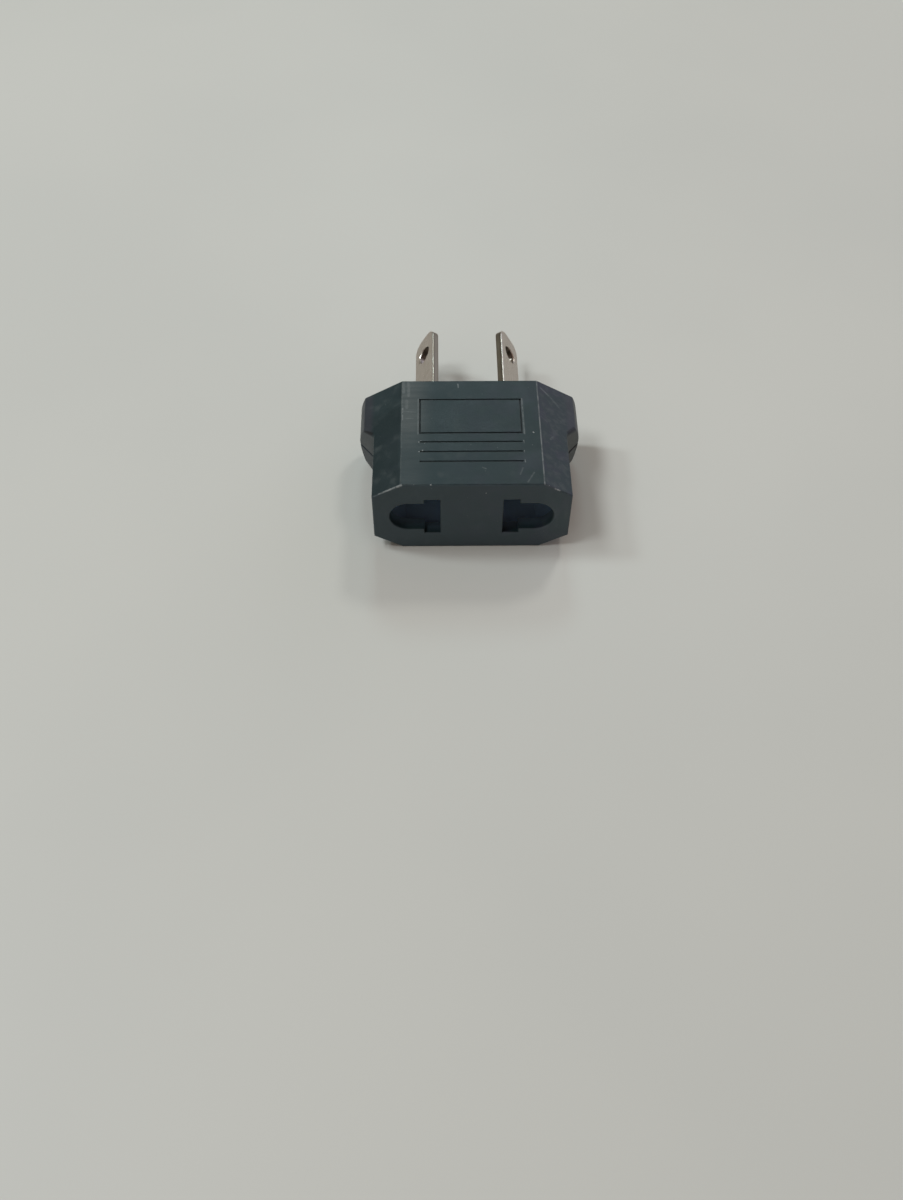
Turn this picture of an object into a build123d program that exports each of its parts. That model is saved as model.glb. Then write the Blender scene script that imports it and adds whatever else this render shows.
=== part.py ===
from build123d import *
import math
import os

# Travel plug adapter, in millimetres. It lies on one broad face: Z is up, the sockets face -Y and the
# slanted blades point along +Y. X = 0 is the plane of symmetry, and Y = 0 is halfway between socket face
# and blade tips.

# Sockets in the front wall: a tall slot for a flat blade, opened sideways into a round-ended slot for a
# round pin
flat_slot_pitch = 12.06
flat_slot_width = 2.45
flat_slot_height = 7.5
round_slot_height = 5.8
round_slot_end = 12.55
slot_edge_break = 0.12

# Moulded housing, an eight-sided prism open at the blade end
side_margin = 2.55
broad_margin = 3.35
bevel_run = 4.38
bevel_drop = 2.6
body_length = 22.55
front_wall = 2.2
side_wall = 1.6
rim_wall = 1.1
edge_radius = 0.25
rim_radius = 0.2
pocket_wall = 1.0

# Thumb grips on the two narrow sides: blocks with sloped noses, bulged outer faces and one groove along them
grip_rise = 1.66
grip_bulge = 0.82
grip_root_length = 9.8
grip_crest_length = 6.55
grip_edge_radius = 0.5
grip_groove_width = 0.5
grip_groove_depth = 0.4
grip_groove_drop = 0.4

# Sunk frame and lines on the upper broad face, set out from the socket face
frame_width = 16.05
frame_length = 7.65
frame_from_front = 10.7
line_length = 15.7
line_from_frame = 1.75
line_pitch = 2.04
line_count = 3
mark_width = 0.3
mark_depth = 0.2

# Base plate that closes the blade end and carries the blades
plate_thickness = 1.8
plate_clearance = 0.06

# Flat blades, stamped from strip, each with a shoulder and a peened tenon inside
blade_pitch = 13.72
blade_slant = 30.0
blade_width = 6.0
blade_thickness = 1.2
blade_length = 18.2
blade_corner_radius = 2.0
blade_edge_radius = 0.2
blade_hole_diameter = 3.1
blade_hole_from_tip = 4.3
blade_hole_break = 0.15
blade_clearance = 0.05
shoulder_overhang = 0.85
shoulder_length = 0.9
tenon_width = 2.4
tenon_offset = 1.3
peen_overhang = 0.3
peen_height = 0.4

# Spring contacts, folded from sheet brass: three leaves under a top strap, and a web staked to the blade
contact_metal = 0.4
pin_pitch = 12.7
flat_grip = 1.3
round_grip = 4.25
leaf_drop = 7.3
leaf_flare = 0.45
leaf_flare_length = 1.5
leaf_gap = 4.2
contact_headroom = 0.2
strap_margin = 1.2
bearing_overlap = 0.7

# Sizes that follow from the values above
body_width = 2 * (round_slot_end + side_margin)
body_height = flat_slot_height + 2 * broad_margin
broad_width = body_width - 2 * bevel_run
mid_height = body_height / 2
front_y = -(body_length + blade_length) / 2
back_y = front_y + body_length
tip_y = back_y + blade_length
plate_y = back_y - plate_thickness
shoulder_y = plate_y - shoulder_length
web_y = shoulder_y - contact_metal
cavity_y = front_y + front_wall
flat_x = flat_slot_pitch / 2
pin_x = pin_pitch / 2
round_x = round_slot_end - round_slot_height / 2
inner_leaf_x = pin_x - (flat_grip + contact_metal) / 2
middle_leaf_x = pin_x + (flat_grip + contact_metal) / 2
outer_leaf_x = middle_leaf_x + round_grip + contact_metal
strap_top = mid_height + flat_slot_height / 2 + contact_headroom + contact_metal
strap_underside = strap_top - contact_metal
leaf_bottom = strap_underside - leaf_drop
leaf_y = cavity_y + leaf_gap
pocket_wall_x = inner_leaf_x - contact_metal - leaf_flare - pocket_wall / 2
web_inner_x = pocket_wall_x + pocket_wall / 2 - bearing_overlap
web_outer_x = outer_leaf_x + contact_metal / 2
tenon_x = blade_pitch / 2 + tenon_offset * math.sin(math.radians(blade_slant))
tenon_z = mid_height - tenon_offset * math.cos(math.radians(blade_slant))


def upright(y):
    # Plane across the body at a place along Y: sketch axes are X and Z, and negative extrusion runs to +Y
    return Plane((0, y, 0), x_dir=(1, 0, 0), z_dir=(0, -1, 0))


def octagon(inset=0.0):
    # Eight-sided cross-section of the body, in X and Z, drawn in by an inset
    with BuildSketch() as section:
        with BuildLine():
            Polyline(
                (-broad_width / 2, 0),
                (broad_width / 2, 0),
                (body_width / 2, bevel_drop),
                (body_width / 2, body_height - bevel_drop),
                (broad_width / 2, body_height),
                (-broad_width / 2, body_height),
                (-body_width / 2, body_height - bevel_drop),
                (-body_width / 2, bevel_drop),
                close=True,
            )
        make_face()
        if inset:
            offset(amount=-inset, kind=Kind.INTERSECTION)
    return section.sketch


def blade_face():
    # Plane along the right blade: sketch axes run across its width and along +Y
    slant = math.radians(blade_slant)
    across = (-math.sin(slant), 0, math.cos(slant))
    normal = (-math.cos(slant), 0, -math.sin(slant))
    return Plane((blade_pitch / 2, 0, mid_height), x_dir=across, z_dir=normal)


# Grip on the right side, seated halfway up the bevels: a plan with a sloped nose, trimmed to the bevels
# and to a bulged outer face
bevel_slope = bevel_drop / bevel_run
grip_edge_x = body_width / 2 + grip_rise
grip_edge_half = mid_height - bevel_drop - grip_rise * bevel_slope
crest_x = grip_edge_x + grip_bulge
nose_slope = (crest_x - body_width / 2) / (grip_root_length - grip_crest_length)
nose_root_y = back_y - grip_root_length
nose_crest_y = back_y - grip_crest_length
seat_x = (broad_width + body_width) / 4
seat_z = (seat_x - broad_width / 2) * bevel_slope
with BuildPart() as grip:
    with BuildSketch(Plane.XY):
        with BuildLine():
            Polyline(
                (seat_x, nose_root_y - (body_width / 2 - seat_x) / nose_slope),
                (crest_x, nose_crest_y),
                (crest_x, back_y),
                (seat_x, back_y),
                close=True,
            )
        make_face()
    extrude(amount=body_height)
    with BuildSketch(upright(front_y)):
        with BuildLine():
            Polyline(
                (grip_edge_x, mid_height - grip_edge_half),
                (seat_x, seat_z),
                (seat_x, body_height - seat_z),
                (grip_edge_x, mid_height + grip_edge_half),
            )
            ThreePointArc(
                (grip_edge_x, mid_height + grip_edge_half),
                (crest_x, mid_height),
                (grip_edge_x, mid_height - grip_edge_half),
            )
        make_face()
    extrude(amount=-body_length, mode=Mode.INTERSECT)
    nose = grip.faces().filter_by(GeomType.PLANE).sort_by(Axis.Y)[0]
    bulge = grip.faces().filter_by(GeomType.CYLINDER)
    rounded = nose.edges().sort_by(Axis.X)[1:] + bulge.edges().filter_by(Axis.Y)
    fillet(rounded, radius=grip_edge_radius)
    with BuildSketch(Plane.XY.offset(mid_height - grip_groove_drop - grip_groove_width / 2)):
        with BuildLine():
            Polyline(
                (body_width / 2, nose_root_y),
                (body_width / 2, nose_root_y + grip_groove_depth / nose_slope),
                (crest_x - grip_groove_depth, nose_crest_y),
                (crest_x - grip_groove_depth, back_y),
                (crest_x, back_y),
                (crest_x, nose_root_y),
                close=True,
            )
        make_face()
    extrude(amount=grip_groove_width, mode=Mode.SUBTRACT)

# Housing: the eight-sided shell with its sockets, grips, inner pockets and the marks on its upper face
with BuildPart() as housing:
    with BuildSketch(upright(front_y)):
        add(octagon())
    extrude(amount=-body_length)
    fillet(housing.edges().filter_by(Axis.Y), radius=edge_radius)
    fillet(housing.faces().sort_by(Axis.Y)[0].edges(), radius=edge_radius)
    add(grip.part)
    mirror(grip.part, about=Plane.YZ)
    fillet(housing.faces().sort_by(Axis.Y)[-1].outer_wire().edges(), radius=rim_radius)
    with BuildSketch(upright(cavity_y)):
        add(octagon(side_wall))
    extrude(amount=-(body_length - front_wall), mode=Mode.SUBTRACT)
    with BuildSketch(upright(plate_y)):
        add(octagon(rim_wall))
    extrude(amount=-plate_thickness, mode=Mode.SUBTRACT)
    with BuildSketch(upright(cavity_y)):
        with Locations((-pocket_wall_x, mid_height), (pocket_wall_x, mid_height)):
            Rectangle(pocket_wall, body_height - side_wall)
    extrude(amount=-(web_y - cavity_y))
    with BuildSketch(upright(front_y)):
        for side in (-1, 1):
            with Locations((side * flat_x, mid_height)):
                Rectangle(flat_slot_width, flat_slot_height)
            with Locations((side * (flat_x + round_x) / 2, mid_height)):
                Rectangle(round_x - flat_x, round_slot_height)
            with Locations((side * round_x, mid_height)):
                Circle(round_slot_height / 2)
    extrude(amount=-front_wall, mode=Mode.SUBTRACT)
    slot_rims = housing.faces().sort_by(Axis.Y)[0].inner_wires()
    chamfer([edge for rim in slot_rims for edge in rim.edges()], length=slot_edge_break)
    with BuildSketch(Plane.XY.offset(body_height)):
        with Locations((0, front_y + frame_from_front + frame_length / 2)):
            Rectangle(frame_width, frame_length)
            Rectangle(frame_width - 2 * mark_width, frame_length - 2 * mark_width, mode=Mode.SUBTRACT)
        for line in range(line_count):
            line_y = front_y + frame_from_front - line_from_frame - line * line_pitch
            with Locations((0, line_y)):
                Rectangle(line_length, mark_width)
    extrude(amount=-mark_depth, mode=Mode.SUBTRACT)

# Base plate: fills the rim flush with the blade end, and is pierced by the two slanted blades
with BuildPart() as base_plate:
    with BuildSketch(upright(plate_y)):
        add(octagon(rim_wall + plate_clearance))
        for side in (-1, 1):
            with Locations(Location((side * blade_pitch / 2, mid_height), side * blade_slant)):
                Rectangle(
                    blade_thickness + 2 * blade_clearance,
                    blade_width + 2 * blade_clearance,
                    mode=Mode.SUBTRACT,
                )
    extrude(amount=-plate_thickness)

# Right blade: shank, shoulder behind the plate, and a tenon that passes the contact's web and is peened
# over it
with BuildPart() as blade_right:
    with BuildSketch(blade_face()) as shank:
        with Locations((0, (plate_y + tip_y) / 2)):
            Rectangle(blade_width, tip_y - plate_y)
        fillet(shank.vertices().group_by(Axis.Y)[-1], radius=blade_corner_radius)
    extrude(amount=blade_thickness / 2, both=True)
    flats = blade_right.faces().filter_by(blade_face())
    fillet(flats.edges(), radius=blade_edge_radius)
    with BuildSketch(blade_face()):
        with Locations((0, tip_y - blade_hole_from_tip)):
            Circle(blade_hole_diameter / 2)
    extrude(amount=blade_thickness / 2, both=True, mode=Mode.SUBTRACT)
    hole_rims = blade_right.edges().filter_by(lambda edge: edge.is_closed)
    chamfer(hole_rims, length=blade_hole_break)
    with BuildSketch(blade_face()):
        with Locations((0, (shoulder_y + plate_y) / 2)):
            Rectangle(blade_width + 2 * shoulder_overhang, shoulder_length)
        with Locations((-tenon_offset, (web_y + shoulder_y) / 2)):
            Rectangle(tenon_width, contact_metal)
    extrude(amount=blade_thickness / 2, both=True)
    with BuildSketch(upright(web_y - peen_height)):
        with Locations(Location((tenon_x, tenon_z), blade_slant)):
            Rectangle(blade_thickness + 2 * peen_overhang, tenon_width + 2 * peen_overhang)
    extrude(amount=-peen_height)

# Right contact: flared inner and outer leaves, a middle leaf pushed down from a window in the strap, and
# the web
with BuildPart() as contact_right:
    for leaf_x, away in ((inner_leaf_x, -1), (outer_leaf_x, 1)):
        with BuildSketch(Plane.XY.offset(leaf_bottom)):
            with BuildLine():
                Polyline(
                    (leaf_x + away * leaf_flare, leaf_y),
                    (leaf_x, leaf_y + leaf_flare_length),
                    (leaf_x, shoulder_y),
                )
            trace(line_width=contact_metal)
        extrude(amount=leaf_drop)
    strap_y = leaf_y + leaf_flare_length
    strap_span = outer_leaf_x - inner_leaf_x + contact_metal
    strap_x = (inner_leaf_x + outer_leaf_x) / 2
    window_near = strap_y + strap_margin
    window_far = web_y - strap_margin
    with BuildSketch(Plane.XY.offset(strap_underside)):
        with Locations((strap_x, (strap_y + shoulder_y) / 2)):
            Rectangle(strap_span, shoulder_y - strap_y)
        with Locations((middle_leaf_x + contact_metal / 2 + round_grip / 2, (window_near + window_far) / 2)):
            Rectangle(round_grip, window_far - window_near, mode=Mode.SUBTRACT)
    extrude(amount=contact_metal)
    with BuildSketch(Plane.XY.offset(strap_underside)):
        with Locations((middle_leaf_x, (window_near + window_far) / 2)):
            Rectangle(contact_metal, window_far - window_near)
    extrude(amount=-round_grip)
    with BuildSketch(upright(web_y)):
        with Locations(((web_inner_x + web_outer_x) / 2, (leaf_bottom + strap_top) / 2)):
            Rectangle(web_outer_x - web_inner_x, strap_top - leaf_bottom)
        with Locations(Location((tenon_x, tenon_z), blade_slant)):
            Rectangle(
                blade_thickness + 2 * blade_clearance,
                tenon_width + 2 * blade_clearance,
                mode=Mode.SUBTRACT,
            )
    extrude(amount=-contact_metal)

with BuildPart() as blade_left:
    mirror(blade_right.part, about=Plane.YZ)

with BuildPart() as contact_left:
    mirror(contact_right.part, about=Plane.YZ)

os.makedirs("parts", exist_ok=True)
pieces = {
    "housing": housing,
    "base_plate": base_plate,
    "blade_left": blade_left,
    "blade_right": blade_right,
    "contact_left": contact_left,
    "contact_right": contact_right,
}
for name, piece in pieces.items():
    piece.part.label = name
    export_step(piece.part, f"parts/{name}.step")
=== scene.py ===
import math

import bpy
import numpy as np
from mathutils import Matrix, Vector


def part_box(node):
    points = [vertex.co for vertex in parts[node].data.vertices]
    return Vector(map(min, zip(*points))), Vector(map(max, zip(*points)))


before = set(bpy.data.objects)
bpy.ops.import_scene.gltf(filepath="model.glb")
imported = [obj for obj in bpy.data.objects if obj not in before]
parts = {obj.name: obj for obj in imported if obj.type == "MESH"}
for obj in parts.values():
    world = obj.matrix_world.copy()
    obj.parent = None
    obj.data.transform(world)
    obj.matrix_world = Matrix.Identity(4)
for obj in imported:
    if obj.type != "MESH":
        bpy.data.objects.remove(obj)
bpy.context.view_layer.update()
shellLow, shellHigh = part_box("housing")
perMetre = 1000.0  # patterns are set out in millimetres
print("frame loaded:", sorted(parts))


# Node helpers: a value that is a socket is linked, any other value is set on the input
def addNode(tree, kind, inputs=None, **settings):
    made = tree.nodes.new(kind)
    for key, value in settings.items():
        setattr(made, key, value)
    for key, value in (inputs or {}).items():
        if isinstance(value, bpy.types.NodeSocket):
            tree.links.new(value, made.inputs[key])
        else:
            made.inputs[key].default_value = value
    return made


def calc(tree, operation, a, b=0.0):
    return addNode(tree, "ShaderNodeMath", {0: a, 1: b}, operation=operation).outputs[0]


def times(tree, first, *others):
    for other in others:
        first = calc(tree, "MULTIPLY", first, other)
    return first


def largest(tree, first, *others):
    for other in others:
        first = calc(tree, "MAXIMUM", first, other)
    return first


def weighed(tree, *pairs):
    # the sum of each value times its weight
    total = 0.0
    for value, weight in pairs:
        total = calc(tree, "ADD", total, calc(tree, "MULTIPLY", value, weight))
    return total


def distance(tree, a, b):
    return calc(tree, "SQRT", weighed(tree, (a, a), (b, b)))


def turnedAxis(tree, a, b, angle):
    # how far a point lies along the axis that is turned by an angle from a towards b
    return weighed(tree, (a, math.cos(angle)), (b, math.sin(angle)))


def remap(tree, value, low, high, toLow=0.0, toHigh=1.0):
    # smooth step from low to high, held flat outside
    inputs = {"Value": value, "From Min": low, "From Max": high, "To Min": toLow, "To Max": toHigh}
    return addNode(tree, "ShaderNodeMapRange", inputs, interpolation_type="SMOOTHSTEP").outputs["Result"]


def band(tree, value, start, full, last, end):
    # rises from start to full and falls from last to end
    return times(tree, remap(tree, value, start, full), remap(tree, value, end, last))


def mixColour(tree, factor, a, b):
    return addNode(tree, "ShaderNodeMix", {0: factor, 6: a, 7: b}, data_type="RGBA").outputs[2]


def noise(tree, vector, scale, detail=2.0, roughness=0.5):
    inputs = {"Vector": vector, "Scale": scale, "Detail": detail, "Roughness": roughness}
    return addNode(tree, "ShaderNodeTexNoise", inputs).outputs["Fac"]


def stretched(tree, vector, scale, turn=(0.0, 0.0, 0.0)):
    angles = [math.radians(a) for a in turn]
    inputs = {"Vector": vector, "Rotation": angles, "Scale": scale}
    return addNode(tree, "ShaderNodeMapping", inputs).outputs["Vector"]


def vectorMath(tree, operation, a, b):
    return addNode(tree, "ShaderNodeVectorMath", {0: a, 1: b}, operation=operation).outputs


def scaled(tree, vector, scale):
    inputs = {0: vector, "Scale": scale}
    return addNode(tree, "ShaderNodeVectorMath", inputs, operation="SCALE").outputs["Vector"]


def splitPlace(tree, place):
    axes = addNode(tree, "ShaderNodeSeparateXYZ", {0: place}).outputs
    return axes["X"], axes["Y"], axes["Z"]


def stroke(tree, place, start, end, width, core=0.3):
    # nearness to the straight line from start to end; core is the share of the width at full strength
    run = [b - a for a, b in zip(start, end)]
    fromStart = vectorMath(tree, "SUBTRACT", place, start)["Vector"]
    along = vectorMath(tree, "DOT_PRODUCT", fromStart, run)["Value"]
    share = calc(tree, "DIVIDE", along, sum(v * v for v in run))
    held = addNode(tree, "ShaderNodeClamp", {"Value": share}).outputs[0]
    apart = vectorMath(tree, "DISTANCE", fromStart, scaled(tree, run, held))["Value"]
    return remap(tree, apart, width, width * core)


def newMaterial(name):
    # a material with a shader, its tree, and the object's own coordinates in millimetres
    material = bpy.data.materials.new(name)
    material.use_nodes = True
    tree = material.node_tree
    tree.nodes.clear()
    shader = addNode(tree, "ShaderNodeBsdfPrincipled")
    output = addNode(tree, "ShaderNodeOutputMaterial")
    tree.links.new(shader.outputs["BSDF"], output.inputs["Surface"])
    coords = addNode(tree, "ShaderNodeTexCoord").outputs["Object"]
    return material, tree, shader, scaled(tree, coords, perMetre)


def addBump(tree, shader, height, strength, depth):
    inputs = {"Strength": strength, "Distance": depth, "Height": height}
    bump = addNode(tree, "ShaderNodeBump", inputs)
    tree.links.new(bump.outputs["Normal"], shader.inputs["Normal"])


def dress(material, *names):
    for name in names:
        parts[name].material_slots[0].material = material


shellWear = {
    # colours
    "dark": (0.0080, 0.0195, 0.0215, 1),
    "pale": (0.0130, 0.0275, 0.0300, 1),
    "plum": (0.0170, 0.0215, 0.0330, 1),
    "gripFilm": (0.026, 0.029, 0.037, 1),
    "haze": (0.098, 0.112, 0.108, 1),
    "frontPaintedLight": (0.063, 0.092, 0.110, 1),
    "inside": (0.31, 0.46, 0.62, 1),  # painted light: a pale bluish lift on the walls behind the sockets, in place of light that doesn't reach them
    "bare": (0.34, 0.36, 0.35, 1),
    "shadow": (0.0025, 0.0035, 0.0040, 1),  # painted shade on the upright sides of the frame and on the bands above the grips' noses
    # the CAD shell's own sizes
    "broadHalf": 10.72,  # half the width of the broad face
    "bevelRun": 4.38,
    "bevelDrop": 2.6,
    "frontWall": 2.27,
    "panel": (7.7, -9.35, -2.35),  # half width, and the near and far ends of the sunk frame's floor
    # noises: cycles a millimetre, detail, and roughness where it isn't the usual one
    "cloud": (0.22, 4.0, 0.55),
    "grain": (16.0, 2.0),
    "tinge": (0.30, 2.0),
    "tingeTurn": (30.0, 0.0, 50.0),
    "streak": (1.0, 6.0, 0.75),
    "streakStretch": (0.13, 1.1, 1.0),
    "bloom": (0.45, 3.0),
    "wipe": (1.0, 4.0, 0.6),
    "wipeStretch": (0.9, 0.9, 0.25),
    "wipeTurn": (0.0, 38.0, 35.0),
    "rub": (1.0, 3.0, 0.6),
    "rubStretch": (0.16, 5.5, 1.2),
    "rubTurns": ((28.0, 0.0), (-52.0, 0.01), (74.0, 0.0)),  # turn, and how much more of it shows
    "patch": (0.9, 4.0, 0.7),
    "lengthwise": (0.45, 3.0, 0.7),
    "uneven": (1.6, 3.0, 0.6),
    "stipple": (4.2, 2.0),
    "waves": (0.5, 2.0),
    # ramps: both ends in millimetres or noise, then the strength at each where it isn't 0 and 1
    "onTop": (-0.06, -0.02),
    "mottle": (0.35, 0.68),
    "paintedBevelShade": (-10.8, -11.4),
    "leftBevelAlong": (0.0, -7.0, -0.22, 0.22),
    "tingeShown": (0.44, 0.64, 0.0, 0.8),
    "tingeAcross": (-9.0, 9.0, 0.1, 1.0),
    "gripFilmShown": (4.3, 5.2, 0.0, 0.8),
    "streakAcross": (-5.0, -9.6),
    "streakAlong": (-15.0, -6.0, 0.35, 1.0),
    "streakShown": (0.30, 0.74, 0.60, 1.10),
    "bloomShown": (0.52, 0.80),
    "bloomAcross": (-8.0, 6.0, 0.30, 0.12),
    "wipeAcross": (0.0, 0.5),
    "wipeShown": (0.44, 0.72, 0.09, 0.48),
    "onGrip": (-0.2, 0.3),
    "underFacet": (-0.1, -0.5),
    "onFacet": (-0.35, -0.10),
    "bulgeFrom": (-5.0, -4.0),
    "leftToRight": (-1.0, 1.0),
    "frontPaintedLightShown": (0.12, 0.03, 0.0, 0.40),
    "sunkDepth": (-0.6, -0.5, -0.12, -0.05),  # a band: starts, is full, is last full, ends
    "sunkAcross": (9.0, 8.6),
    "sunkFrom": (0.8, 1.0),  # from the front
    "sunkTo": (0.8, 0.6),  # past the frame's far end
    "uprightAcross": (-0.05, 0.05, 0.22, 0.30),  # a band
    "uprightFrom": (-0.6, -0.4, 0.0, 0.9),
    "uprightShine": (0.0, 0.9, 1.0, 0.3),
    "panelRise": 0.1,  # the stipple fades out over this along the frame
    "rubPeak": (0.74, 0.80),
    "edgeWidth": (0.17, 0.04),  # how far a rubbed edge shows, and how much of that is full
    "rightSide": (0.0, 4.0),
    "patchShown": (0.38, 0.62),
    "lengthwiseShown": (0.36, 0.56, 0.35, 1.0),
    "unevenShown": (0.30, 0.60, 0.25, 1.0),
    "behindWall": (-0.05, 0.1),
    "underSkin": (-1.2, -1.5),
    "roughness": (0.3, 0.7, 0.36, 0.46),
    # strengths; a pair is off and on the upper face, or left and right
    "lean": 0.01,  # paler towards the left of the upper face
    "tingeOffOn": (1.0, 0.5),
    "noseHazeAndHighlight": (0.42, 0.95),
    "bulgeHazeAndHighlight": (0.32, 1.45),
    "mouthFrom": 0.3,
    "mouthPaintedLight": 0.20,
    "hazeShare": 0.68,
    "sunkShare": 0.32,
    "rubShare": 0.35,
    "edgeShare": 0.55,
    # the right top edge's line is partly a painted highlight
    "topEdge": (0.12, 0.7),
    "bevelEdge": (0.8, 0.45),
    "frontEdge": 0.12,
    "shine": (0.36, 0.22),  # the upper face is the most handled
    "hazeRoughness": 0.10,
    "grainRoughness": 0.06,
    "relief": {"grain": 0.35, "stipple": 1.1, "rubs": -0.5, "waves": 2.5},
    "bump": (0.35, 0.00004),  # strength, and depth in metres
    "specks": {
        "cells": 1.5,  # cells a millimetre
        "share": 0.14,  # of the cells have a speck
        "step": 0.01,
        "radius": 0.075,
        "least": 0.5,  # the smallest and the solid middle, as shares of the radius
        "core": 0.5,
        "strength": 0.4,
    },
    "shadeBands": (  # start, end, half width and strength of the painted shade band above each grip's nose
        ((15.38, -6.85, 11.43), (16.45, -5.25, 10.80), 0.42, 0.90),
        ((-15.45, -6.85, 11.39), (-16.68, -5.65, 10.68), 0.40, 0.80),
    ),
    "ragged": {"cycles": 5.0, "detail": 2.0, "reach": (0.5, 0.5, 0.3)},  # the chips' outlines
    "nickCore": 0.45,
    "nicks": (  # place and radius of each bright chip
        (12.75, -20.27, 13.00, 0.16),
        (11.45, -20.32, 13.78, 0.11),
        (9.60, -9.52, 14.20, 0.13),
        (-6.20, -20.32, 14.20, 0.14),
        (2.02, -20.37, 12.44, 0.10),
        (-8.02, -11.50, 14.20, 0.10),
        (-7.70, -11.18, 14.20, 0.09),
        (-7.10, -11.70, 14.20, 0.08),
        (-7.96, -13.44, 14.20, 0.10),
        (-7.45, -13.22, 14.20, 0.08),
    ),
    "scratchAndHighlightStrokes": (  # start, end, half width and strength of each single scratch and painted highlight
        ((-14.05, -20.36, 12.38), (-10.62, -20.36, 14.18), 0.30, 0.60),
        ((12.35, -20.32, 13.25), (13.05, -20.32, 12.84), 0.20, 0.80),
        # painted highlights along the sides of the sunk frame and at the sunk lines' right ends
        ((8.12, -2.05, 14.20), (8.20, -9.75, 14.20), 0.19, 0.22),
        ((8.20, -9.75, 14.20), (8.16, -8.90, 14.20), 0.11, 0.30),
        ((8.04, -11.70, 14.20), (8.02, -11.18, 14.20), 0.10, 0.40),
        ((8.02, -13.70, 14.20), (8.00, -13.30, 14.20), 0.09, 0.35),
        ((8.06, -15.75, 14.20), (8.02, -15.28, 14.20), 0.10, 0.40),
        ((-8.14, -2.05, 14.20), (-8.16, -9.75, 14.20), 0.15, 0.16),
        # single scratches
        ((-1.86, 1.35, 14.20), (-1.80, 0.55, 14.20), 0.13, 0.40),
        ((-9.71, 1.80, 14.20), (-9.66, -1.30, 14.20), 0.34, 0.14),
        ((-9.98, -2.40, 14.20), (-9.93, -4.00, 14.20), 0.36, 0.11),
        ((-10.48, 1.70, 14.20), (-10.42, -0.60, 14.20), 0.30, 0.14),
        ((-10.55, -4.05, 14.20), (-10.56, -5.00, 14.20), 0.13, 0.30),
        ((-10.55, -5.60, 14.20), (-10.57, -6.70, 14.20), 0.12, 0.24),
        ((-10.60, -4.80, 14.20), (-8.40, -4.95, 14.20), 0.13, 0.18),
        ((-10.60, -6.30, 14.20), (-8.90, -6.35, 14.20), 0.10, 0.15),
        ((11.28, 0.79, 13.87), (12.99, -0.62, 12.85), 0.26, 0.18),
        ((12.99, -0.62, 12.85), (14.19, -1.91, 12.14), 0.30, 0.11),
        ((10.95, -5.85, 14.07), (11.97, -6.54, 13.46), 0.11, 0.12),
        ((12.26, -10.11, 13.29), (12.78, -9.26, 12.98), 0.26, 0.11),
        ((7.17, -18.24, 14.20), (7.62, -16.94, 14.20), 0.18, 0.09),
        ((8.23, -19.80, 14.20), (9.27, -17.87, 14.20), 0.18, 0.13),
        ((1.60, -16.80, 14.20), (2.05, -17.05, 14.20), 0.18, 0.14),
    ),
}


def shellPlaces(tree, place):
    # where a point of the shell lies: its axes, and how far it is out of each face or past each line
    w = shellWear
    x, y, z = splitPlace(tree, place)
    topZ, frontY = shellHigh.z * perMetre, shellLow.y * perMetre
    panelHalf, panelNear, panelFar = w["panel"]
    slope = math.atan2(w["bevelDrop"], w["bevelRun"])
    side = calc(tree, "ABSOLUTE", x)
    offTop = calc(tree, "SUBTRACT", z, topZ)
    outward = calc(tree, "SUBTRACT", side, w["broadHalf"])
    offSide = calc(tree, "SUBTRACT", outward, w["bevelRun"])
    # the same from whichever broad face is nearer
    fromMiddle = calc(tree, "ABSOLUTE", calc(tree, "SUBTRACT", z, topZ / 2))
    offBroad = calc(tree, "SUBTRACT", fromMiddle, topZ / 2)
    return {
        "place": place,
        "x": x,
        "y": y,
        "side": side,
        "outward": outward,
        "offTop": offTop,
        "offSide": offSide,
        "offFront": calc(tree, "SUBTRACT", y, frontY),
        "offBevel": turnedAxis(tree, offTop, outward, slope),
        "offNearest": largest(tree, offBroad, turnedAxis(tree, offBroad, outward, slope), offSide),
        "onTop": remap(tree, offTop, *w["onTop"]),
        "pastHalf": calc(tree, "SUBTRACT", side, panelHalf),
        "pastNear": calc(tree, "SUBTRACT", y, panelNear),
        "pastFar": calc(tree, "SUBTRACT", y, panelFar),
    }


def mouldedColourAndBevelShade(tree, at, cloud):
    # paler to the left of the upper face, a painted shade along the left bevel, darker towards the front
    # and paler far back, and plum tinges on the right
    w = shellWear
    leaning = times(tree, at["x"], w["lean"], at["onTop"])
    paintedBevelShade = times(tree, remap(tree, at["x"], *w["paintedBevelShade"]),
                      remap(tree, at["y"], *w["leftBevelAlong"]))
    level = calc(tree, "SUBTRACT", calc(tree, "SUBTRACT", cloud, leaning), paintedBevelShade)
    colour = mixColour(tree, remap(tree, level, *w["mottle"]), w["dark"], w["pale"])
    turned = stretched(tree, at["place"], (1.0, 1.0, 1.0), w["tingeTurn"])
    tinge = times(tree, remap(tree, noise(tree, turned, *w["tinge"]), *w["tingeShown"]),
                  remap(tree, at["x"], *w["tingeAcross"]),
                  remap(tree, at["onTop"], 0.0, 1.0, *w["tingeOffOn"]))
    colour = mixColour(tree, tinge, colour, w["plum"])
    return mixColour(tree, remap(tree, at["outward"], *w["gripFilmShown"]), colour, w["gripFilm"])


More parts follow.
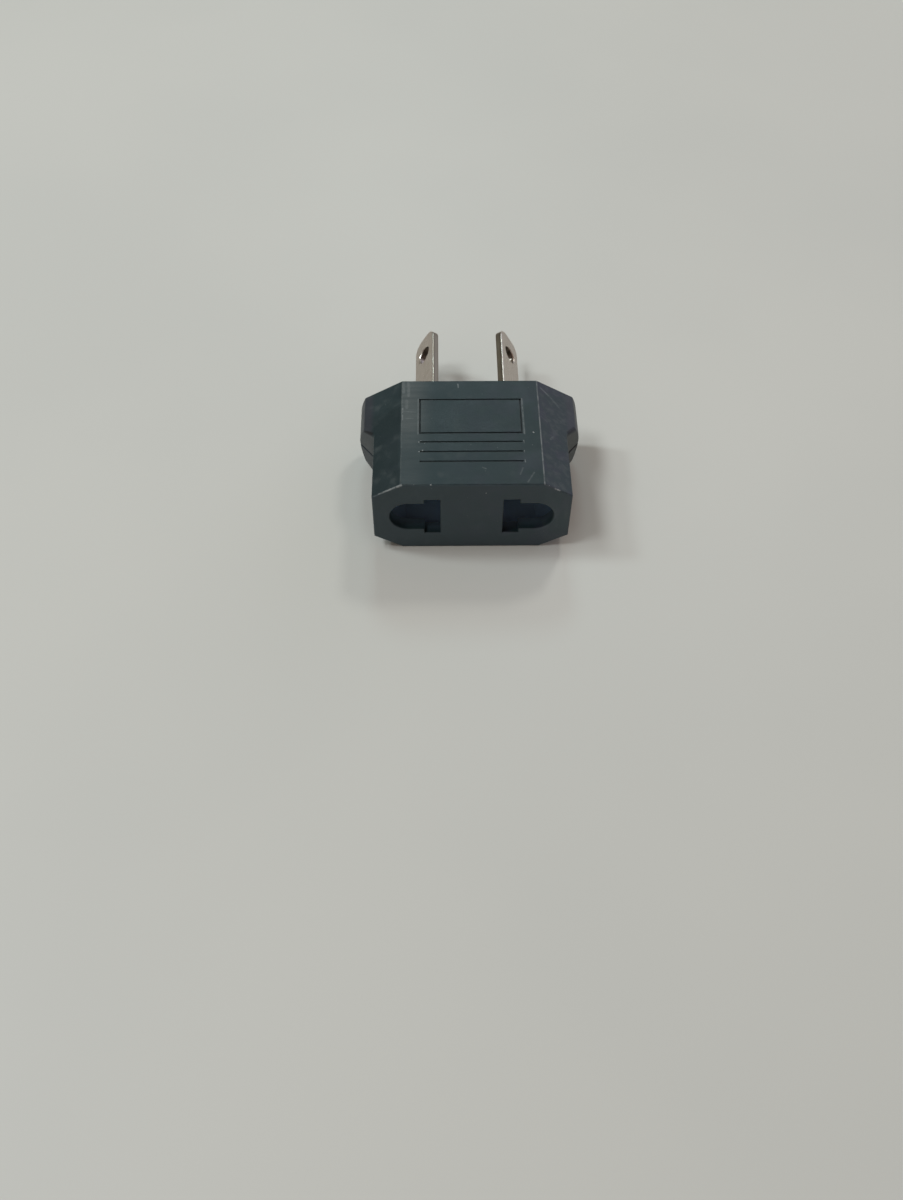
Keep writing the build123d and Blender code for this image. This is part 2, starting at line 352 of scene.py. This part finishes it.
def hazeAndPaintedSheen(tree, at):
    # cross streaks on the left of the upper face, faint blooms, slanting wipes on the right bevel over a
    # painted sheen, and the grips dulled by fingers, more on the right grip, where it is partly a painted
    # highlight
    w = shellWear
    x, y, place = at["x"], at["y"], at["place"]
    streak = noise(tree, stretched(tree, place, w["streakStretch"]), *w["streak"])
    streaks = times(tree, remap(tree, x, *w["streakAcross"]), remap(tree, y, *w["streakAlong"]),
                    at["onTop"], remap(tree, streak, *w["streakShown"]))
    blooms = times(tree, remap(tree, noise(tree, place, *w["bloom"]), *w["bloomShown"]),
                   remap(tree, x, *w["bloomAcross"]))
    wipe = noise(tree, stretched(tree, place, w["wipeStretch"], w["wipeTurn"]), *w["wipe"])
    pastBroad = calc(tree, "SUBTRACT", x, w["broadHalf"])
    # on the right bevel the wipes never fade below a faint layer: a painted sheen
    wipesAndSheen = times(tree, remap(tree, pastBroad, *w["wipeAcross"]), remap(tree, wipe, *w["wipeShown"]))
    # stronger on the right grip, partly a painted highlight
    noseThenBulge = {
        0: remap(tree, y, *w["bulgeFrom"]),
        2: remap(tree, x, *w["leftToRight"], *w["noseHazeAndHighlight"]),
        3: remap(tree, x, *w["leftToRight"], *w["bulgeHazeAndHighlight"]),
    }
    handled = addNode(tree, "ShaderNodeMix", noseThenBulge).outputs[0]
    fingerHazeAndHighlight = times(tree, remap(tree, at["offSide"], *w["onGrip"]),
                     remap(tree, at["offBevel"], *w["underFacet"]), handled)
    return largest(tree, streaks, blooms, calc(tree, "ADD", wipesAndSheen, fingerHazeAndHighlight))


def sunkMasks(tree, at):
    # the sunk frame and lines below the upper face, and the frame's upright left and right sides
    w = shellWear
    sunk = times(tree, band(tree, at["offTop"], *w["sunkDepth"]), remap(tree, at["side"], *w["sunkAcross"]),
                 remap(tree, at["offFront"], *w["sunkFrom"]), remap(tree, at["pastFar"], *w["sunkTo"]))
    upright = times(tree, band(tree, at["pastHalf"], *w["uprightAcross"]),
                    remap(tree, at["pastNear"], *w["uprightFrom"]), sunk)
    return sunk, upright


def fineScratches(tree, place):
    # long thin streaks: noise squeezed across one direction, kept only at its peaks
    w = shellWear
    rubs = []
    for turn, more in w["rubTurns"]:
        lines = noise(tree, stretched(tree, place, w["rubStretch"], (0.0, 0.0, turn)), *w["rub"])
        rubs.append(remap(tree, lines, *(peak - more for peak in w["rubPeak"])))
    return largest(tree, *rubs)


def rubbedEdgesAndHighlight(tree, at):
    # nearness to the lines where the upper face, the bevels and the front meet; the stronger line along the
    # right top edge is partly a painted highlight
    w = shellWear

    def nearEdge(a, b):
        return remap(tree, distance(tree, at[a], at[b]), *w["edgeWidth"])

    rightSide = remap(tree, at["x"], *w["rightSide"])
    topEdge = times(tree, nearEdge("offTop", "outward"), remap(tree, rightSide, 0.0, 1.0, *w["topEdge"]))
    bevelEdge = times(tree, nearEdge("offBevel", "offFront"),
                      remap(tree, rightSide, 0.0, 1.0, *w["bevelEdge"]))
    frontEdge = times(tree, nearEdge("offTop", "offFront"), w["frontEdge"])
    patchy = remap(tree, noise(tree, at["place"], *w["patch"]), *w["patchShown"])
    lengthwise = remap(tree, noise(tree, at["place"], *w["lengthwise"]), *w["lengthwiseShown"])
    return largest(tree, times(tree, largest(tree, bevelEdge, frontEdge), patchy),
                   times(tree, topEdge, lengthwise))


def scratchesAndHighlights(tree, place):
    w = shellWear
    uneven = remap(tree, noise(tree, place, *w["uneven"]), *w["unevenShown"])
    marks = [times(tree, stroke(tree, place, start, end, width), strength, uneven)
             for start, end, width, strength in w["scratchAndHighlightStrokes"]]
    return largest(tree, *marks)


def dustSpecks(tree, place):
    s = shellWear["specks"]
    full = s["cells"] * s["radius"]
    grit = addNode(tree, "ShaderNodeTexVoronoi", {"Vector": place, "Scale": s["cells"]}).outputs
    picked, sized, _ = splitPlace(tree, grit["Color"])
    size = remap(tree, sized, 0.0, 1.0, full * s["least"], full)
    near = remap(tree, calc(tree, "DIVIDE", grit["Distance"], size), 1.0, s["core"])
    bound = 1.0 - s["share"]
    return times(tree, near, remap(tree, picked, bound, bound + s["step"], 0.0, s["strength"]))


def brightChips(tree, place):
    w = shellWear
    r = w["ragged"]
    inputs = {"Vector": place, "Scale": r["cycles"], "Detail": r["detail"]}
    jitter = addNode(tree, "ShaderNodeTexNoise", inputs).outputs["Color"]
    inputs = {0: jitter, 1: r["reach"], 2: place}
    jagged = addNode(tree, "ShaderNodeVectorMath", inputs, operation="MULTIPLY_ADD").outputs["Vector"]
    chips = 0.0
    for *nick, radius in w["nicks"]:
        # the jitter moves a point by half its reach on average
        moved = [a + reach / 2 for a, reach in zip(nick, r["reach"])]
        apart = vectorMath(tree, "DISTANCE", jagged, moved)["Value"]
        chips = calc(tree, "ADD", chips, remap(tree, apart, radius, radius * w["nickCore"]))
    return chips


def socketInside(tree, at):
    # painted light on the sockets' walls: a little on the mouths' walls, and fully behind the front wall
    w = shellWear
    pastWall = calc(tree, "SUBTRACT", at["offFront"], w["frontWall"])
    mouth = remap(tree, at["offFront"], w["mouthFrom"], w["frontWall"], 0.0, w["mouthPaintedLight"])
    paintedLight = largest(tree, mouth, remap(tree, pastWall, *w["behindWall"]))
    return times(tree, paintedLight, remap(tree, at["offNearest"], *w["underSkin"]))


def shellPlastic():
    w = shellWear
    material, tree, shader, place = newMaterial("shellPlastic")
    at = shellPlaces(tree, place)
    cloud, grain = noise(tree, place, *w["cloud"]), noise(tree, place, *w["grain"])
    haze = hazeAndPaintedSheen(tree, at)
    sunk, upright = sunkMasks(tree, at)
    rubs = fineScratches(tree, place)

    colour = mouldedColourAndBevelShade(tree, at, cloud)
    # handling haze, with a painted sheen on the right bevel and a painted highlight on the right grip
    colour = mixColour(tree, times(tree, haze, w["hazeShare"]), colour, w["haze"])
    # painted light: the front face is made paler
    colour = mixColour(tree, remap(tree, at["offFront"], *w["frontPaintedLightShown"]), colour, w["frontPaintedLight"])
    # the sunk frame and lines hold some dust; the frame's upright sides get a painted shade
    colour = mixColour(tree, times(tree, sunk, w["sunkShare"]), colour, w["haze"])
    colour = mixColour(tree, upright, colour, w["shadow"])
    # painted shade bands above the grips' noses
    onFacet = remap(tree, at["offBevel"], *w["onFacet"])
    for start, end, width, strength in w["shadeBands"]:
        shadeBand = times(tree, stroke(tree, place, start, end, width), onFacet, strength)
        colour = mixColour(tree, shadeBand, colour, w["shadow"])
    colour = mixColour(tree, times(tree, rubs, w["rubShare"]), colour, w["haze"])
    colour = mixColour(tree, times(tree, rubbedEdgesAndHighlight(tree, at), w["edgeShare"]), colour, w["bare"])
    # scratches with painted highlights on the sunk frame, dust specks and bright chips
    for marks in (scratchesAndHighlights(tree, place), dustSpecks(tree, place), brightChips(tree, place)):
        colour = mixColour(tree, marks, colour, w["bare"])
    # painted light on the walls inside the sockets
    colour = mixColour(tree, socketInside(tree, at), colour, w["inside"])
    tree.links.new(colour, shader.inputs["Base Color"])
    shine = times(tree, remap(tree, at["onTop"], 0.0, 1.0, *w["shine"]),
                  remap(tree, upright, *w["uprightShine"]))
    tree.links.new(shine, shader.inputs["Specular IOR Level"])

    # satin surface: duller where hazed, with fine grain; the frame's floor is stippled more coarsely
    gloss = weighed(tree, (remap(tree, cloud, *w["roughness"]), 1.0), (haze, w["hazeRoughness"]),
                    (grain, w["grainRoughness"]))
    tree.links.new(gloss, shader.inputs["Roughness"])
    rise, relief = w["panelRise"], w["relief"]
    inPanel = times(tree, remap(tree, at["pastHalf"], 0.0, -rise), remap(tree, at["pastNear"], 0.0, rise),
                    remap(tree, at["pastFar"], 0.0, -rise), at["onTop"])
    stipple = times(tree, noise(tree, place, *w["stipple"]), inPanel)
    waves = noise(tree, place, *w["waves"])
    height = weighed(tree, (grain, relief["grain"]), (stipple, relief["stipple"]), (rubs, relief["rubs"]),
                     (waves, relief["waves"]))
    addBump(tree, shader, height, *w["bump"])
    return material


plateLook = {
    "dark": (0.0080, 0.0185, 0.0205, 1),
    "pale": (0.0125, 0.0265, 0.0285, 1),
    "cloud": (0.3, 4.0, 0.55),  # cycles a millimetre, detail, roughness
    "mottle": (0.35, 0.68),
    "grain": (13.0, 2.0),
    "roughness": (0.2, 0.8, 0.42, 0.56),
    "bump": (0.35, 0.00004),
}


def platePlastic():
    p = plateLook
    material, tree, shader, place = newMaterial("platePlastic")
    cloud, grain = noise(tree, place, *p["cloud"]), noise(tree, place, *p["grain"])
    colour = mixColour(tree, remap(tree, cloud, *p["mottle"]), p["dark"], p["pale"])
    tree.links.new(colour, shader.inputs["Base Color"])
    tree.links.new(remap(tree, grain, *p["roughness"]), shader.inputs["Roughness"])
    addBump(tree, shader, grain, *p["bump"])
    return material


bladeLook = {
    "plate": (0.500, 0.436, 0.378, 1),
    "tarnish": (0.43, 0.363, 0.302, 1),
    "sheared": (0.252, 0.226, 0.170, 1),  # the narrow edges, cut and not polished
    "furrow": (0.197, 0.172, 0.136, 1),
    "paintedCornerHighlight": (0.64, 0.595, 0.52, 1),  # painted highlight along the rounded corners
    "holeShade": (0.140, 0.110, 0.088, 1),  # painted shade inside the hole
    "holeGlint": (0.62, 0.56, 0.48, 1),  # painted glint on the part of its wall towards the body
    "drawn": (5.0, 0.12, 5.0),  # brushing: many cycles a millimetre across the blade, few along it
    "brushed": (1.0, 3.0, 0.6),
    "cloud": (0.55, 4.0, 0.6),
    "stainShown": (0.45, 0.75),
    "stainShare": 0.6,
    # the CAD blade's own sizes
    "pitch": 13.72,
    "slant": 30.0,
    "holeFromTip": 4.3,
    "holeRadius": 1.55,
    # how far a face is turned towards the narrow edges
    "onEdge": (0.85, 0.98),
    "onCorner": (0.15, 0.40, 0.75, 0.92),  # a band
    # through the blade's thickness, and about the hole
    "lowerFurrow": (-0.28, -0.42),
    "upperFurrow": (0.16, 0.24, 0.34, 0.40),  # a band
    "holeWall": (0.05, 0.01),
    "towardsTip": (0.2, 0.9),
    "roughness": (0.3, 0.7, 0.25, 0.31),
    "stainRoughness": 0.10,
    "cutRoughness": 0.12,
    "bump": (0.12, 0.000005),
}


def bladeMetal():
    b = bladeLook
    material, tree, shader, place = newMaterial("bladeMetal")
    brushed = noise(tree, stretched(tree, place, b["drawn"]), *b["brushed"])
    cloud = noise(tree, place, *b["cloud"])
    stain = times(tree, remap(tree, cloud, *b["stainShown"]), b["stainShare"])
    metal = mixColour(tree, stain, b["plate"], b["tarnish"])

    # the blades mirror each other, so both are worked out on the right-hand one
    slant = math.radians(b["slant"])
    x, y, z = splitPlace(tree, place)
    facing = addNode(tree, "ShaderNodeTexCoord").outputs["Normal"]
    facingX, _, facingZ = splitPlace(tree, facing)
    mirrored = times(tree, facingX, calc(tree, "SIGN", x))
    turned = calc(tree, "ABSOLUTE", turnedAxis(tree, facingZ, mirrored, -slant))
    onEdge = remap(tree, turned, *b["onEdge"])
    onCorner = band(tree, turned, *b["onCorner"])
    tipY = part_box("blade_right")[1].y * perMetre
    midZ = (shellLow.z + shellHigh.z) / 2 * perMetre
    outward = calc(tree, "SUBTRACT", calc(tree, "ABSOLUTE", x), b["pitch"] / 2)
    upward = calc(tree, "SUBTRACT", z, midZ)
    acrossBlade = turnedAxis(tree, upward, outward, -slant)
    throughBlade = turnedAxis(tree, outward, upward, slant)

    # two darker lines along the narrow edges
    furrows = largest(tree, remap(tree, throughBlade, *b["lowerFurrow"]),
                      band(tree, throughBlade, *b["upperFurrow"]))
    cut = mixColour(tree, furrows, b["sheared"], b["furrow"])
    metal = mixColour(tree, onEdge, metal, cut)
    # painted highlight along the rounded corners
    metal = mixColour(tree, onCorner, metal, b["paintedCornerHighlight"])
    # inside the hole a painted shade, with a painted glint towards the body
    pastHole = calc(tree, "SUBTRACT", y, tipY - b["holeFromTip"])
    offWall = calc(tree, "SUBTRACT", distance(tree, acrossBlade, pastHole), b["holeRadius"])
    inHole = remap(tree, offWall, *b["holeWall"])
    wall = mixColour(tree, remap(tree, pastHole, *b["towardsTip"]), b["holeGlint"], b["holeShade"])
    metal = mixColour(tree, inHole, metal, wall)
    tree.links.new(metal, shader.inputs["Base Color"])
    shader.inputs["Metallic"].default_value = 1.0
    gloss = weighed(tree, (remap(tree, brushed, *b["roughness"]), 1.0), (stain, b["stainRoughness"]),
                    (largest(tree, onEdge, inHole), b["cutRoughness"]))
    tree.links.new(gloss, shader.inputs["Roughness"])
    addBump(tree, shader, brushed, *b["bump"])
    return material


contactLook = {
    "brass": (0.40, 0.28, 0.13, 1),
    "aged": (0.16, 0.105, 0.055, 1),
    "cloud": (0.8, 4.0, 0.6),
    "agedShown": (0.35, 0.7),
    "rolledStretch": (6.0, 0.4, 6.0),
    "rolled": (1.0, 3.0),
    "roughness": (0.3, 0.7, 0.28, 0.44),
}


def contactBrass():
    c = contactLook
    material, tree, shader, place = newMaterial("contactBrass")
    cloud = noise(tree, place, *c["cloud"])
    rolled = noise(tree, stretched(tree, place, c["rolledStretch"]), *c["rolled"])
    colour = mixColour(tree, remap(tree, cloud, *c["agedShown"]), c["brass"], c["aged"])
    tree.links.new(colour, shader.inputs["Base Color"])
    shader.inputs["Metallic"].default_value = 1.0
    tree.links.new(remap(tree, rolled, *c["roughness"]), shader.inputs["Roughness"])
    return material


dress(shellPlastic(), "housing")
dress(platePlastic(), "base_plate")
dress(bladeMetal(), "blade_left", "blade_right")
dress(contactBrass(), "contact_left", "contact_right")
print("finishes set on", len(parts), "CAD pieces")

room = {
    "ceiling": (0.21, 0.12, 0.08, 1),
    "left": (0.145, 0.115, 0.095, 1),
    "right": (0.89, 0.93, 1.17, 1),
    "front": (0.62, 0.58, 0.56, 1),
    "skirting": (0.12, 0.11, 0.10, 1),
    "seen": (0.52, 0.53, 0.485, 1),  # what the camera sees past the floor's edge
    # ramps over the parts of a direction of length 1
    "windowAcross": (0.10, 0.65),
    "windowAlong": (-0.25, 0.30),
    "frontFrom": (-0.05, -0.75),
    "skirtingTo": (0.02, 0.20),
    "ceilingFrom": (0.40, 0.75),
    "leftLift": 0.5,  # the ceiling starts higher on the left
}
tableTop = {
    "half": 3.0,
    "lines": 9,
    "pale": (0.557, 0.560, 0.514, 1),
    "shade": (0.540, 0.545, 0.502, 1),
    "cloud": (0.012, 3.0),
    "shadeShown": (0.35, 0.65),
    "roughness": 0.45,
    "shine": 0.15,
    "fade": (150.0, 300.0),  # millimetres from the middle over which the floor passes into the background
}


def floorSheet():
    t = tableTop
    # flat grid: x and y run from minus half to plus half, z is zero
    count = t["lines"]
    ends = np.linspace(-t["half"], t["half"], count)
    gridX, gridY = np.meshgrid(ends, ends)
    corners = np.stack([gridX, gridY, np.zeros_like(gridX)], axis=-1).reshape(-1, 3)
    first = (np.arange(count - 1)[:, None] * count + np.arange(count - 1)).ravel()
    quads = np.stack([first, first + 1, first + count + 1, first + count], axis=-1)
    mesh = bpy.data.meshes.new("tableTop")
    mesh.from_pydata(corners.tolist(), [], quads.tolist())
    floor = bpy.data.objects.new("tableTop", mesh)
    bpy.context.scene.collection.objects.link(floor)
    material, tree, shader, place = newMaterial("tableLaminate")
    cloud = noise(tree, place, *t["cloud"])
    colour = mixColour(tree, remap(tree, cloud, *t["shadeShown"]), t["pale"], t["shade"])
    tree.links.new(colour, shader.inputs["Base Color"])
    shader.inputs["Roughness"].default_value = t["roughness"]
    shader.inputs["Specular IOR Level"].default_value = t["shine"]
    away = addNode(tree, "ShaderNodeVectorMath", {0: place}, operation="LENGTH").outputs["Value"]
    seen = addNode(tree, "ShaderNodeLightPath").outputs["Is Camera Ray"]
    far = times(tree, remap(tree, away, *t["fade"]), seen)
    backdrop = addNode(tree, "ShaderNodeEmission", {"Color": room["seen"]}).outputs[0]
    both = addNode(tree, "ShaderNodeMixShader", {0: far, 1: shader.outputs["BSDF"], 2: backdrop}).outputs[0]
    tree.links.new(both, tree.nodes["Material Output"].inputs["Surface"])
    mesh.materials.append(material)


floorSheet()
print("floor laid")

lamps = {  # soft round lamps: three on the left and two behind
    "leftNear": {"toward": (-0.52, -0.18, 1.0), "size": 0.24, "power": 2.48, "tint": (0.90, 0.955, 1.0)},
    "leftFar": {"toward": (-0.57, 0.11, 1.0), "size": 0.24, "power": 1.98, "tint": (0.90, 0.955, 1.0)},
    "leftLow": {"toward": (-0.93, 0.20, 1.0), "size": 0.15, "power": 1.85, "tint": (0.83, 0.95, 1.0)},
    "backRight": {"toward": (0.41, 0.80, 1.0), "size": 0.15, "power": 1.50, "tint": (0.97, 0.97, 0.94)},
    "backLow": {"toward": (-0.02, 1.15, 1.0), "size": 0.20, "power": 1.25, "tint": (0.70, 0.94, 1.0)},
}
lampDistance = 1.0


def placeLamps():
    target = Vector(((shellLow.x + shellHigh.x) / 2, (shellLow.y + shellHigh.y) / 2, 0.0))
    for name, lamp in lamps.items():
        data = bpy.data.lights.new(name, "AREA")
        data.shape = "DISK"
        data.size = lamp["size"]
        data.energy = lamp["power"]
        data.color = lamp["tint"]
        lampObject = bpy.data.objects.new(name, data)
        toward = Vector(lamp["toward"]).normalized()
        lampObject.location = target + toward * lampDistance
        lampObject.rotation_euler = toward.to_track_quat("Z", "Y").to_euler()
        bpy.context.scene.collection.objects.link(lampObject)


def fillRoom():
    # dim and warm above and on the left, a cool window at the back right, neutral in front,
    # and dark along the horizon
    world = bpy.data.worlds.new("room")
    bpy.context.scene.world = world
    world.use_nodes = True
    tree = world.node_tree
    tree.nodes.clear()
    toward = addNode(tree, "ShaderNodeTexCoord").outputs["Generated"]
    x, y, z = splitPlace(tree, toward)
    window = times(tree, remap(tree, x, *room["windowAcross"]), remap(tree, y, *room["windowAlong"]))
    low = mixColour(tree, window, room["left"], room["right"])
    low = mixColour(tree, remap(tree, y, *room["frontFrom"]), low, room["front"])
    low = mixColour(tree, remap(tree, z, *room["skirtingTo"]), room["skirting"], low)
    height = calc(tree, "ADD", z, times(tree, calc(tree, "MINIMUM", x, 0.0), room["leftLift"]))
    glow = mixColour(tree, remap(tree, height, *room["ceilingFrom"]), low, room["ceiling"])
    seen = addNode(tree, "ShaderNodeLightPath").outputs["Is Camera Ray"]
    light = addNode(tree, "ShaderNodeBackground", {"Color": mixColour(tree, seen, glow, room["seen"])})
    output = addNode(tree, "ShaderNodeOutputWorld")
    tree.links.new(light.outputs[0], output.inputs["Surface"])


placeLamps()
fillRoom()
print("lamps placed")

view = {
    "place": (-0.00513, -0.11547, 0.14008),  # from the middle of the socket face's foot
    "pitch": 53.165,
    "yaw": 1.06,
    "roll": 0.46,
    "lens": 34.5,
    "sensor": 36.0,
    "nearest": 0.005,
}


def setCamera():
    pitch, yaw, roll = (math.radians(view[key]) for key in ("pitch", "yaw", "roll"))
    look = Vector((math.sin(yaw) * math.cos(pitch), math.cos(yaw) * math.cos(pitch), -math.sin(pitch)))
    level = Vector((math.cos(yaw), -math.sin(yaw), 0.0))
    rise = level.cross(look)
    across = level * math.cos(roll) + rise * math.sin(roll)
    up = rise * math.cos(roll) - level * math.sin(roll)
    data = bpy.data.cameras.new("photoView")
    data.sensor_fit = "VERTICAL"
    data.sensor_height = view["sensor"]
    data.lens = view["lens"]
    data.clip_start = view["nearest"]
    camera = bpy.data.objects.new("photoView", data)
    turned = Matrix((across, up, -look)).transposed().to_4x4()
    turned.translation = Vector(view["place"]) + Vector((0.0, shellLow.y, 0.0))
    camera.matrix_world = turned
    bpy.context.scene.collection.objects.link(camera)
    bpy.context.scene.camera = camera


setCamera()
bpy.context.scene.view_settings.view_transform = "Standard"
print("camera set")
